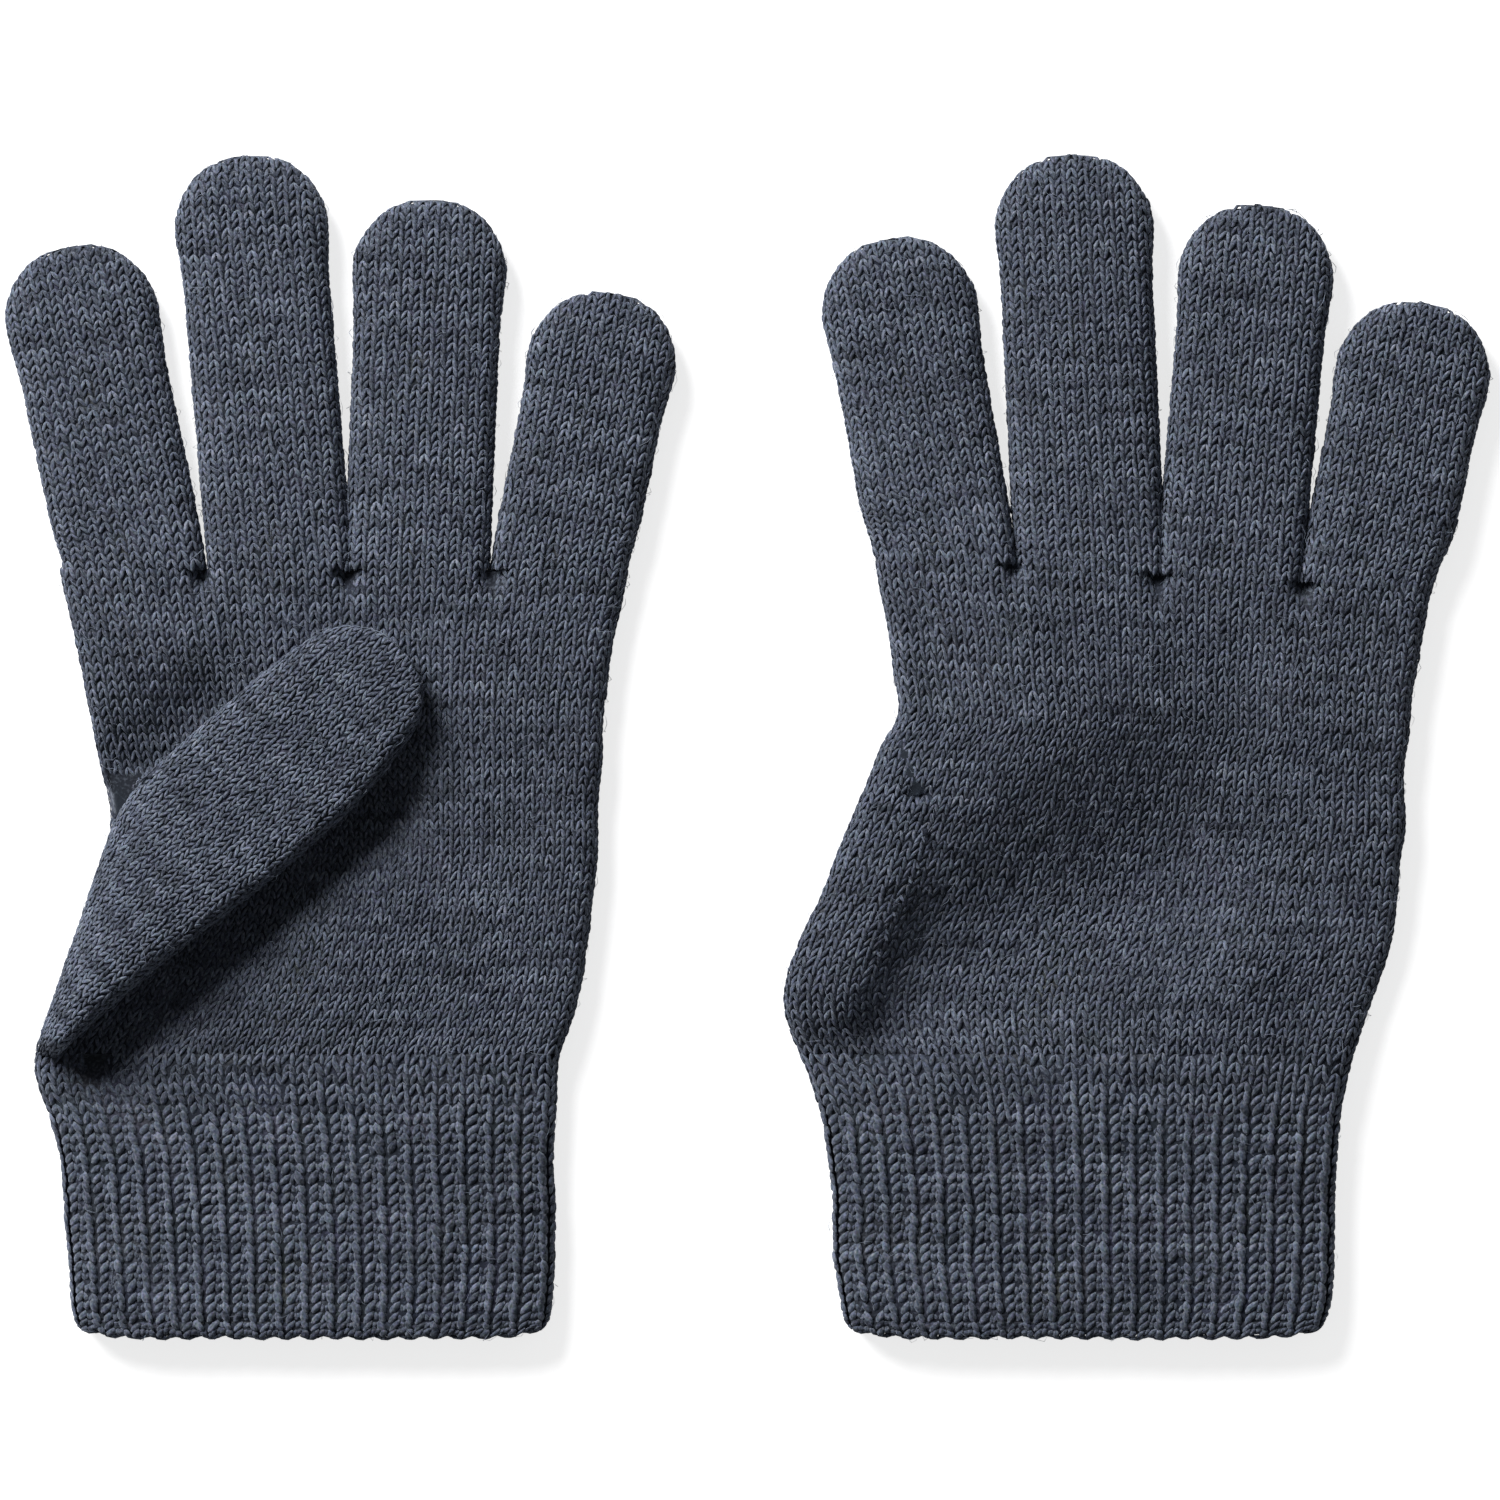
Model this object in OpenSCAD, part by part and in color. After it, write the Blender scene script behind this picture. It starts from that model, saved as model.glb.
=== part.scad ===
// A pair of knitted gloves lying flat: the left one palm up with its thumb folded over the palm,
// the right one back up with its thumb folded under the palm.

/* [Pair] */
// Distance between the two gloves as they lie, middle of one cuff to the other
pair_pitch = 155.5; // [150:0.5:200]
// Lean of the right hand over its cuff, in the plane of the table, in degrees
right_lean = 3.5; // [0:0.5:6]

/* [Knit] */
// Thickness of the knitted fabric
fabric_t = 1.6; // [1.2:0.1:2]
// Gap left where two knitted sections meet
join_gap = 0.3; // [0.2:0.05:0.6]

/* [Cuff] */
// Flat width of the cuff
cuff_w = 98; // [90:0.5:104]
// Height of the flattened cuff
cuff_h = 9; // [8:0.25:10]
// Sideways place of the cuff's middle, from the middle of the knuckles
cuff_x = -8; // [-10:0.5:-4]
// Length of the ribbed tube
rib_len = 40; // [30:1:60]
// Length of the hem at the cuff's mouth
hem_len = 3; // [2:0.5:6]
// How far the hem stands in from the rib's inner face
hem_roll = 0.4; // [0.2:0.1:0.6]
// Number of elastic threads laid into the rib
elastic_rows = 5; // [2:1:7]
// Thickness of an elastic thread
elastic_d = 0.7; // [0.4:0.1:0.9]
// Length of the soft wrist between rib and hand
wrist_len = 13; // [12:0.5:18]

/* [Hand] */
// Height of the flattened hand and fingers
hand_h = 9; // [8:0.25:10]
// Length of the hand from wrist to knuckles
hand_len = 97; // [85:1:110]
// Distance from the wrist up to the crotch of the thumb
crotch_rise = 46; // [42:0.5:50]
// Sideways place of the hand's edge at the crotch of the thumb
crotch_x = -48; // [-52:0.5:-46]
// Sideways place of the hand's edge at its heel, on the thumb side
heel_x = -62; // [-64:0.5:-58]
// Sideways place of the hand's edge at the wrist, on the little finger side
wrist_x = 43; // [41:0.5:46]
// Sideways place of the hand's edge half way up, on the little finger side
palm_x = 50; // [47:0.5:54]
// Distance from the wrist up to that half way point
palm_rise = 36; // [25:1:50]

/* [Fingers] */
// Flat width of a finger
finger_w = 29.6; // [28:0.1:31]
// How much closer the knuckles lie than a finger is wide
knuckle_tuck = 0.6; // [0.4:0.1:0.8]
// Length of the index finger
index_len = 66; // [60:1:80]
// Length of the middle finger
middle_len = 83; // [74:1:95]
// Length of the ring finger
ring_len = 74; // [68:1:88]
// Length of the little finger
little_len = 56; // [53:1:70]
// Length of the soft root of each finger
root_len = 14; // [13:0.5:16]
// Distance from the knuckles to the middle of the index finger's bend
index_bend_at = 37; // [33:0.5:40]
// Distance from the knuckles to the middle of the middle finger's bend
middle_bend_at = 46; // [38:0.5:50]
// Distance from the knuckles to the middle of the ring finger's bend
ring_bend_at = 41; // [36:0.5:45]
// Distance from the knuckles to the middle of the little finger's bend
little_bend_at = 31; // [28:0.5:32]
// Length of the soft bend at the middle of each finger
bend_len = 12; // [11:0.5:13]
// Turn of the left index, middle, ring and little finger towards the thumb, in degrees
left_lay = [11, 4, -2, -10.5]; // [-14:0.5:14]
// Turn of the right index, middle, ring and little finger towards the thumb, in degrees
right_lay = [13, 5.5, -1.5, -7]; // [-14:0.5:14]

/* [Thumb] */
// Flat width of the thumb
thumb_w = 26.4; // [24:0.2:28]
// Height of the flattened thumb
thumb_h = 8; // [7:0.25:9]
// Length of the straight thumb from its middle to its tip
thumb_reach = 34.5; // [30:0.5:36]
// Length from the thumb's middle back to where its tube widens into the soft base
thumb_neck = 10; // [8:0.5:14]
// Sideways place of the thumb's middle, as it lies folded
thumb_x = -15; // [-18:0.5:-13]
// Distance from the wrist up to the thumb's middle, as it lies folded
thumb_rise = 59; // [56:0.5:60]
// Turn of the folded thumb from the hand's length, in degrees
thumb_turn = 49; // [46:0.5:52]
// Room between the folded thumb and the hand
thumb_gap = 1; // [0.8:0.1:1.5]
// Distance from the hand's edge in to the axis of the thumb's fold
fold_in = 6.5; // [6.2:0.1:7]
// Length of the thumb's base along its fold
base_len = 36; // [32:0.5:38]
// Distance that the thumb's base lies towards the crotch from the middle of the fold
base_shift = 4; // [2:0.5:5]
// Distance from the fold's axis to the open end of the thumb's base
base_in = 4; // [3.5:0.1:5]

/* [Hidden] */
wool = "#474d5a";
wool_dark = "#3d434f";
elastic_colour = "#2b2e36";
digits = ["index", "middle", "ring", "little"];
sides = ["left", "right"];
digit_len = [index_len, middle_len, ring_len, little_len];
bend_at = [index_bend_at, middle_bend_at, ring_bend_at, little_bend_at];
glove_pieces = ["cuff_rib", "cuff_hem", "cuff_elastic", "wrist", "palm", "back", "thumb_fold", "thumb"];
finger_pieces = ["root", "lower", "bend", "upper"];

// Stations along the glove, measured from the cuff's mouth
wrist_y = hem_len + rib_len + join_gap;
hand_y = wrist_y + wrist_len + join_gap;
crotch_y = hand_y + crotch_rise;
knuckle_y = hand_y + hand_len;
knuckle_pitch = finger_w - knuckle_tuck;
wrist_mid = [cuff_x, wrist_y];

// Facets of a half-round side, cuts across the hand and across a finger, rows along the hand
side_steps = 6;
side_mid = side_steps / 2;
hand_cuts = 14;
finger_cuts = 2;
hand_rows = 14;
tip_steps = 5;
last_tip_angle = 80;

// Fold of the thumb over the hand's edge
edge_start = [heel_x, hand_y];
edge_end = [crotch_x, crotch_y];
fold_dir = (edge_end - edge_start) / norm(edge_end - edge_start);
fold_out = [fold_dir[1], -fold_dir[0]];
fold_mid = (edge_start + edge_end) / 2 + fold_in * fold_out + base_shift * fold_dir;
fold_turn = atan2(fold_dir[0], fold_dir[1]);
fold_r = thumb_h + thumb_gap / 2;
fold_wrap = 110;

// Folded thumb
thumb_mid = [thumb_x, hand_y + thumb_rise];
thumb_dir = [sin(thumb_turn), cos(thumb_turn)];
thumb_across = [cos(thumb_turn), -sin(thumb_turn)];
thumb_base = fold_mid + base_in * fold_out;

// Rise of the right hand over the thumb that lies under it
lift_h = thumb_h + thumb_gap;
lift_side = thumb_w / 2 + 5;
lift_tip = thumb_reach + 2;
lift_base = 68;
lift_run = 9;

// Smallest box around the pair in plan, from the finger tips and the cuffs' mouths
function turn(p, a) = [p[0] * cos(a) - p[1] * sin(a), p[0] * sin(a) + p[1] * cos(a)];
function glove_lean(side) = side == "left" ? 0 : -right_lean;
function glove_shift(side) = side == "left" ? [0, 0] : [pair_pitch, 0];
function laid(side, p) = glove_shift(side) + wrist_mid + turn(p - wrist_mid, glove_lean(side));
function lay(side, i) = side == "left" ? left_lay[i] : right_lay[i];
function knuckle(i) = [(i - 1.5) * knuckle_pitch, knuckle_y];
function along(side, i, d) = knuckle(i) + d * [-sin(lay(side, i)), cos(lay(side, i))];
function tip_middle(side, i) = laid(side, along(side, i, digit_len[i] - finger_w / 2));
box_left = tip_middle("left", 0)[0] - finger_w / 2;
box_right = tip_middle("right", 3)[0] + finger_w / 2;
box_top = max([for (side = sides, i = [0:3]) tip_middle(side, i)[1] + finger_w / 2]);
middle = [(box_left + box_right) / 2, box_top / 2];

// Sets a glove's own frame, with its cuff's mouth on the X axis, in the pair
module place_cuff(side)
    translate(glove_shift(side) - middle)
    children();

// Sets the hand's frame, which leans about the middle of the wrist
module place(side)
    place_cuff(side)
    translate(wrist_mid)
    rotate(glove_lean(side))
    translate(-wrist_mid)
    children();

// Flattened tube's outline: half-round sides, flat under and over, from its lower left corner round
function tube_ring(half_w, h, cuts) =
    let (r = min(h / 2, half_w), flat = half_w - r)
    concat(
        [for (i = [0:side_steps]) let (a = 270 - 180 * i / side_steps) [-flat + r * cos(a), r * sin(a)]],
        [for (i = [1:cuts - 1]) [-flat + 2 * flat * i / cuts, r]],
        [for (i = [0:side_steps]) let (a = 90 - 180 * i / side_steps) [flat + r * cos(a), r * sin(a)]],
        [for (i = [1:cuts - 1]) [flat - 2 * flat * i / cuts, -r]]);

// The same outline stood across a line in plan: middle, direction across, height of its middle
function stand(ring, mid, across, z) = [for (p = ring) [each (mid + p[0] * across), z + p[1]]];

// Solid between an outer and an inner grid of points, rows along and columns round; an open grid
// is closed at its two long edges, and a tip is closed over its last row, from the middle of a side
module fabric(outer, inner, round = true, tip = false) {
    rows = len(outer);
    cols = len(outer[0]);
    last = round ? cols - 1 : cols - 2;
    grid = rows * cols;
    function at(i, j) = i * cols + j % cols;
    function two(a, b, c, d) = [[a, b, c], [a, c, d]];
    function end_rim(i) = [for (j = [0:last])
        each two(at(i, j), at(i, j + 1), grid + at(i, j + 1), grid + at(i, j))];
    function flip(faces) = [for (f = faces) [f[2], f[1], f[0]]];
    function edge_rim(j) = [for (i = [0:rows - 2])
        each two(at(i, j), grid + at(i, j), grid + at(i + 1, j), at(i + 1, j))];
    skin = [for (i = [0:rows - 2], j = [0:last])
        each two(at(i, j), at(i + 1, j), at(i + 1, j + 1), at(i, j + 1))];
    lining = [for (f = flip(skin)) [for (k = f) k + grid]];
    cap = [for (j = [side_mid + 1:side_mid + cols - 2])
        [at(rows - 1, side_mid), at(rows - 1, j + 1), at(rows - 1, j)]];
    cap_lining = [for (f = flip(cap)) [for (k = f) k + grid]];
    polyhedron(
        points = concat([for (row = outer) each row], [for (row = inner) each row]),
        faces = concat(
            skin,
            lining,
            end_rim(0),
            tip ? concat(cap, cap_lining) : flip(end_rim(rows - 1)),
            round ? [] : concat(edge_rim(0), flip(edge_rim(cols - 1)))));
}

// Cuff: rib with grooves for its elastic, hem and elastic threads
module flat_tube(w, h, y0, y1)
    translate([cuff_x, y1, cuff_h / 2])
    rotate([90, 0, 0])
    linear_extrude(y1 - y0)
    union() {
        square([w - h, h], center = true);
        for (end = [-1, 1])
            translate([end * (w - h) / 2, 0])
            circle(d = h, $fn = 48);
    }

// Wall of the cuff that reaches from one depth under its outer face to another
module cuff_wall(from, to, y0, y1)
    difference() {
        flat_tube(cuff_w - 2 * from, cuff_h - 2 * from, y0, y1);
        flat_tube(cuff_w - 2 * to, cuff_h - 2 * to, y0 - 1, y1 + 1);
    }

function elastic_y(i) = hem_len + rib_len * (i + 0.5) / elastic_rows;

module cuff_rib(side)
    color(wool)
    place_cuff(side)
    difference() {
        cuff_wall(0, fabric_t, hem_len, hem_len + rib_len);
        for (i = [0:elastic_rows - 1])
            flat_tube(
                cuff_w - 2 * (fabric_t - elastic_d), cuff_h - 2 * (fabric_t - elastic_d),
                elastic_y(i) - elastic_d / 2, elastic_y(i) + elastic_d / 2);
    }

module cuff_hem(side)
    color(wool_dark)
    place_cuff(side)
    cuff_wall(0, fabric_t + hem_roll, 0, hem_len);

module cuff_elastic(side)
    color(elastic_colour)
    place_cuff(side)
    for (i = [0:elastic_rows - 1])
        cuff_wall(fabric_t - elastic_d, fabric_t, elastic_y(i) - elastic_d / 2, elastic_y(i) + elastic_d / 2);

// Hand: the two edges of its outline in plan, and its rise over a thumb that lies under it
function thumb_edge(y) =
    lookup(y, [[hand_y, heel_x], [crotch_y, crotch_x], [knuckle_y, -2 * knuckle_pitch]]);
function outer_edge(y) =
    lookup(y, [[hand_y, wrist_x], [hand_y + palm_rise, palm_x], [knuckle_y, 2 * knuckle_pitch]]);
function ease(u) = let (v = min(max(u, 0), 1)) v * v * (3 - 2 * v);
function beyond_thumb(p) =
    let (s = (p - thumb_mid) * thumb_dir, q = (p - thumb_mid) * thumb_across)
    max(abs(q) - lift_side, s - lift_tip, -lift_base - s, 0);
function rise(side, p) = side == "left" ? 0 : lift_h * ease(1 - beyond_thumb(p) / lift_run);
function raised(side, ring) = [for (p = ring) p + [0, 0, rise(side, [p[0], p[1]])]];

function hand_ring(side, y, depth) =
    let (half_w = (outer_edge(y) - thumb_edge(y)) / 2, mid = [(outer_edge(y) + thumb_edge(y)) / 2, y])
    raised(side, stand(tube_ring(half_w - depth, hand_h - 2 * depth, hand_cuts), mid, [1, 0], hand_h / 2));

function cuff_ring(side, depth) =
    let (ring = tube_ring(cuff_w / 2 - depth, cuff_h - 2 * depth, hand_cuts))
    stand(ring, wrist_mid, turn([1, 0], -glove_lean(side)), cuff_h / 2);

function shifted(ring, dy) = [for (p = ring) p + [0, dy, 0]];

module wrist(side)
    color(wool)
    place(side)
    fabric(
        [cuff_ring(side, 0), shifted(hand_ring(side, hand_y, 0), -join_gap)],
        [cuff_ring(side, fabric_t), shifted(hand_ring(side, hand_y, fabric_t), -join_gap)]);

// Upper or lower half of a hand ring, from the middle of one side to the middle of the other
function half_ring(ring, upper) =
    let (count = side_steps + hand_cuts)
    [for (i = [0:count]) ring[(side_mid + i + (upper ? 0 : count)) % len(ring)]];

module hand_half(side, upper) {
    rows = [for (i = [0:hand_rows]) hand_y + hand_len * i / hand_rows];
    fabric(
        [for (y = rows) half_ring(hand_ring(side, y, 0), upper)],
        [for (y = rows) half_ring(hand_ring(side, y, fabric_t), upper)],
        round = false);
}

module palm(side)
    color(wool)
    place(side)
    hand_half(side, side == "left");

module back(side)
    color(wool)
    place(side)
    hand_half(side, side == "right");

// Thumb: its height over or under the hand, its soft base folded over the hand's edge and its tube
function thumb_z(side) = thumb_h / 2 + (side == "left" ? hand_h + thumb_gap : 0);
function fold_z(side) = thumb_gap / 2 + (side == "left" ? hand_h : thumb_h);

module fold_outline()
    union() {
        intersection() {
            difference() {
                circle(r = fold_r, $fn = 64);
                circle(r = fold_r - fabric_t, $fn = 64);
            }
            polygon(concat(
                [[0, 0]],
                [for (i = [0:4]) let (a = fold_wrap * i / 4) 2 * fold_r * [-sin(a), cos(a)]]));
        }
        translate([0, fold_r - fabric_t])
            square([base_in - join_gap, fabric_t]);
    }

// Ring of the thumb at a distance along it from its middle
function thumb_ring(side, half_w, h, s) =
    stand(tube_ring(half_w, h, finger_cuts), thumb_mid + s * thumb_dir, thumb_across, thumb_z(side));

function base_rows(side, depth) =
    let (h = thumb_h - 2 * depth)
    [stand(tube_ring(base_len / 2 - depth, h, finger_cuts), thumb_base, -fold_dir, thumb_z(side)),
     thumb_ring(side, thumb_w / 2 - depth, h, -thumb_neck)];

module thumb_fold(side)
    color(wool)
    place(side) {
        translate([each (fold_mid + base_len / 2 * fold_dir), fold_z(side)])
            rotate(-fold_turn)
            rotate([90, 0, 0])
            linear_extrude(base_len)
            mirror([0, side == "left" ? 0 : 1])
            fold_outline();
        fabric(base_rows(side, 0), base_rows(side, fabric_t));
    }

// Rows of a round tip, as distance from the tip's middle, half width and height
function tip_row(k, r, h) =
    let (a = last_tip_angle * k / tip_steps)
    [r * sin(a) / sin(last_tip_angle), r * cos(a), h * sqrt(cos(a))];

function thumb_rows(side, depth) =
    let (r = thumb_w / 2 - depth, h = thumb_h - 2 * depth)
    concat(
        [thumb_ring(side, r, h, join_gap - thumb_neck)],
        [for (k = [0:tip_steps]) let (row = tip_row(k, r, h))
            thumb_ring(side, row[1], row[2], thumb_reach - thumb_w / 2 + row[0])]);

module thumb(side)
    color(wool)
    place(side)
    fabric(thumb_rows(side, 0), thumb_rows(side, fabric_t), tip = true);

// Fingers: a soft root at the knuckle, a lower tube, a soft bend and an upper tube with its tip
function across(side, i) = [cos(lay(side, i)), sin(lay(side, i))];

function root_rows(side, i, depth) = [
    stand(
        tube_ring((knuckle_pitch - join_gap) / 2 - depth, hand_h - 2 * depth, finger_cuts),
        knuckle(i) + [0, join_gap], [1, 0], hand_h / 2),
    stand(
        tube_ring(finger_w / 2 - depth, hand_h - 2 * depth, finger_cuts),
        along(side, i, root_len), across(side, i), hand_h / 2)];

function upper_rows(side, i, depth) =
    let (r = finger_w / 2 - depth, h = hand_h - 2 * depth, d = bend_at[i] + bend_len / 2 + join_gap)
    concat(
        [stand(tube_ring(r, h, finger_cuts), along(side, i, d), across(side, i), hand_h / 2)],
        [for (k = [0:tip_steps]) let (row = tip_row(k, r, h))
            stand(
                tube_ring(row[1], row[2], finger_cuts),
                along(side, i, digit_len[i] - finger_w / 2 + row[0]), across(side, i), hand_h / 2)]);

module finger_tube(side, i, from, to)
    translate([each along(side, i, to), hand_h / 2])
    rotate(lay(side, i))
    rotate([90, 0, 0])
    linear_extrude(to - from)
    difference() {
        polygon(tube_ring(finger_w / 2, hand_h, finger_cuts));
        polygon(tube_ring(finger_w / 2 - fabric_t, hand_h - 2 * fabric_t, finger_cuts));
    }

module finger_root(side, i)
    color(wool_dark)
    place(side)
    fabric(root_rows(side, i, 0), root_rows(side, i, fabric_t));

module finger_lower(side, i)
    color(wool)
    place(side)
    finger_tube(side, i, root_len + join_gap, bend_at[i] - bend_len / 2);

module finger_bend(side, i)
    color(wool_dark)
    place(side)
    finger_tube(side, i, bend_at[i] - bend_len / 2 + join_gap, bend_at[i] + bend_len / 2);

module finger_upper(side, i)
    color(wool)
    place(side)
    fabric(upper_rows(side, i, 0), upper_rows(side, i, fabric_t), tip = true);

for (side = sides) {
    cuff_rib(side);
    cuff_hem(side);
    cuff_elastic(side);
    wrist(side);
    palm(side);
    back(side);
    thumb_fold(side);
    thumb(side);
    for (i = [0:3]) {
        finger_root(side, i);
        finger_lower(side, i);
        finger_bend(side, i);
        finger_upper(side, i);
    }
}
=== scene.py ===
import math

import bpy
import numpy as np
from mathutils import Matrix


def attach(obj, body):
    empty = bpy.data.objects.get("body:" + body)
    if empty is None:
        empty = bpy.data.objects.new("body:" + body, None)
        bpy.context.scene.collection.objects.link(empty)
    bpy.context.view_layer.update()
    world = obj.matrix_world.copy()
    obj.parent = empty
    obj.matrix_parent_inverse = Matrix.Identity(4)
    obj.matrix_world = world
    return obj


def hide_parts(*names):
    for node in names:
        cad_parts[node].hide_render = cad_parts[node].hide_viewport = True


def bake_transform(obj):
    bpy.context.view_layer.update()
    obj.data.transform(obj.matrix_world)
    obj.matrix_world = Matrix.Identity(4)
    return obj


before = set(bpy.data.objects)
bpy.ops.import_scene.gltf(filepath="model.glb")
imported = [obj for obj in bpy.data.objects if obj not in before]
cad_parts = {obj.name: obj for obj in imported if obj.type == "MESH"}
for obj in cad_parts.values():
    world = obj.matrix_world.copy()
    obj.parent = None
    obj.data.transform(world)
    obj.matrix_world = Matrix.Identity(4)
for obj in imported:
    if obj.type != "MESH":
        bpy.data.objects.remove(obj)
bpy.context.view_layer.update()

# Table, light and camera: a plain pale table top, a soft light from all round and a broad window of
# light from the upper left. The camera looks straight down on a square of 300 mm. Table and walls glow
# for the camera alone, so that the ground is white and keeps the gloves' shadow.
scene = bpy.context.scene
scene.view_settings.view_transform = "Standard"
bpy.ops.object.select_all(action="DESELECT")

camera_height, fabric_height, picture_width = 3.0, 0.006, 0.3
picture_middle = (0.0007, -0.001)
bpy.ops.object.camera_add(location=(*picture_middle, camera_height), rotation=(0, 0, 0))
scene.camera = bpy.context.object
scene.camera.data.sensor_width = 36
scene.camera.data.lens = 36 * (camera_height - fabric_height) / picture_width

bpy.ops.object.light_add(type="AREA", location=(-1.12, 1.29, 1.02))
window = bpy.context.object
window.data.shape = "DISK"
window.data.size = 1.25
window.data.energy = 62
window.rotation_euler = (math.radians(59.2), 0, math.radians(221))

room = bpy.data.worlds.new("room")
room.use_nodes = True
nodes, links = room.node_tree.nodes, room.node_tree.links
sky = nodes["Background"]
sky.inputs["Color"].default_value = (0.96, 0.98, 1.0, 1)
sky.inputs["Strength"].default_value = 0.12
wall = nodes.new("ShaderNodeBackground")
wall.inputs["Color"].default_value = (1, 1, 1, 1)
seen_wall = nodes.new("ShaderNodeMixShader")
links.new(nodes.new("ShaderNodeLightPath").outputs["Is Camera Ray"], seen_wall.inputs["Fac"])
links.new(sky.outputs[0], seen_wall.inputs[1])
links.new(wall.outputs[0], seen_wall.inputs[2])
links.new(seen_wall.outputs[0], nodes["World Output"].inputs["Surface"])
scene.world = room

bpy.ops.mesh.primitive_plane_add(size=6, location=(0, 0, -0.0002))
table = bpy.context.object
table.name = "table"
table_paint = bpy.data.materials.new("pale_table")
table_paint.use_nodes = True
nodes, links = table_paint.node_tree.nodes, table_paint.node_tree.links
surface = nodes["Principled BSDF"]
surface.inputs["Base Color"].default_value = (0.8, 0.8, 0.8, 1)
surface.inputs["Roughness"].default_value = 0.9
surface.inputs["Specular IOR Level"].default_value = 0.1
camera_glow = 0.75
glow = nodes.new("ShaderNodeEmission")
glow.inputs["Color"].default_value = (1, 1, 1, 1)
ray = nodes.new("ShaderNodeLightPath")
seen = nodes.new("ShaderNodeMath")
seen.operation = "MULTIPLY"
seen.inputs[1].default_value = camera_glow
links.new(ray.outputs["Is Camera Ray"], seen.inputs[0])
links.new(seen.outputs[0], glow.inputs["Strength"])
both = nodes.new("ShaderNodeAddShader")
links.new(surface.outputs[0], both.inputs[0])
links.new(glow.outputs[0], both.inputs[1])
links.new(both.outputs[0], nodes["Material Output"].inputs["Surface"])
table.data.materials.append(table_paint)

# Yarn: a two-ply wool spun from light and dark slate fibres, so that its shade wanders along the
# yarn. The fibre pattern follows the yarn's own map, and each stitch carries its own shade.
def yarn_group():
    """Node group: colour, roughness and height of wool fibres from a stitch's shade and three colours"""
    fleck_scale, fleck_share, fibre_seed = 1700, 1.2, 61
    dark_at, middle_at, light_at = 0.1, 0.52, 1.0
    group = bpy.data.node_groups.new("heathered_yarn", "ShaderNodeTree")
    for name in ("Dark", "Middle", "Light"):
        group.interface.new_socket(name, in_out="INPUT", socket_type="NodeSocketColor")
    group.interface.new_socket("Color", in_out="OUTPUT", socket_type="NodeSocketColor")
    for name in ("Roughness", "Height"):
        group.interface.new_socket(name, in_out="OUTPUT", socket_type="NodeSocketFloat")
    nodes, links = group.nodes, group.links
    given = nodes.new("NodeGroupInput")
    result = nodes.new("NodeGroupOutput")

    def math_node(operation, a, b):
        node = nodes.new("ShaderNodeMath")
        node.operation = operation
        for socket, value in zip(node.inputs, (a, b)):
            if isinstance(value, (int, float)):
                socket.default_value = value
            else:
                links.new(value, socket)
        return node.outputs[0]

    def mix_node(factor, a, b):
        node = nodes.new("ShaderNodeMix")
        node.data_type = "RGBA"
        links.new(factor, node.inputs["Factor"])
        links.new(a, node.inputs["A"])
        links.new(b, node.inputs["B"])
        return node.outputs["Result"]

    shade = nodes.new("ShaderNodeAttribute")
    shade.attribute_name = "shade"
    yarn_map = nodes.new("ShaderNodeUVMap")
    yarn_map.uv_map = "yarn"
    twist = nodes.new("ShaderNodeMapping")
    twist.inputs["Rotation"].default_value = (0, 0, math.radians(35))
    twist.inputs["Scale"].default_value = (9, 4, 1)
    links.new(yarn_map.outputs["UV"], twist.inputs["Vector"])
    fibre = nodes.new("ShaderNodeTexNoise")
    fibre.noise_dimensions = "4D"
    fibre.inputs["Scale"].default_value = 1
    fibre.inputs["Detail"].default_value = 2
    links.new(twist.outputs["Vector"], fibre.inputs["Vector"])
    links.new(math_node("MULTIPLY", shade.outputs["Fac"], fibre_seed), fibre.inputs["W"])
    place = nodes.new("ShaderNodeTexCoord")
    fleck = nodes.new("ShaderNodeTexNoise")
    fleck.inputs["Scale"].default_value = fleck_scale
    fleck.inputs["Detail"].default_value = 2
    links.new(place.outputs["Object"], fleck.inputs["Vector"])

    fibre_shade = math_node("SUBTRACT", fibre.outputs["Fac"], 0.5)
    fleck_shade = math_node("MULTIPLY", math_node("SUBTRACT", fleck.outputs["Fac"], 0.5), fleck_share)
    value = math_node("ADD", math_node("ADD", shade.outputs["Fac"], fibre_shade), fleck_shade)
    low = nodes.new("ShaderNodeMapRange")
    low.inputs["From Min"].default_value = dark_at
    low.inputs["From Max"].default_value = middle_at
    links.new(value, low.inputs["Value"])
    high = nodes.new("ShaderNodeMapRange")
    high.inputs["From Min"].default_value = middle_at
    high.inputs["From Max"].default_value = light_at
    links.new(value, high.inputs["Value"])
    darker = mix_node(low.outputs["Result"], given.outputs["Dark"], given.outputs["Middle"])
    tint = nodes.new("ShaderNodeVectorMath")
    tint.operation = "MULTIPLY_ADD"
    tint.inputs[1].default_value = (0.8, 0.4, 1.0)
    tint.inputs[2].default_value = (0.6, 0.8, 0.5)
    links.new(fibre.outputs["Color"], tint.inputs[0])
    tinted = nodes.new("ShaderNodeVectorMath")
    tinted.operation = "MULTIPLY"
    links.new(mix_node(high.outputs["Result"], darker, given.outputs["Light"]), tinted.inputs[0])
    links.new(tint.outputs[0], tinted.inputs[1])
    links.new(tinted.outputs[0], result.inputs["Color"])
    rough = math_node("ADD", math_node("MULTIPLY", fibre.outputs["Fac"], 0.25), 0.72)
    links.new(rough, result.inputs["Roughness"])
    links.new(math_node("ADD", fibre.outputs["Fac"], fleck.outputs["Fac"]), result.inputs["Height"])
    return group


heathered_yarn = yarn_group()


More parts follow.
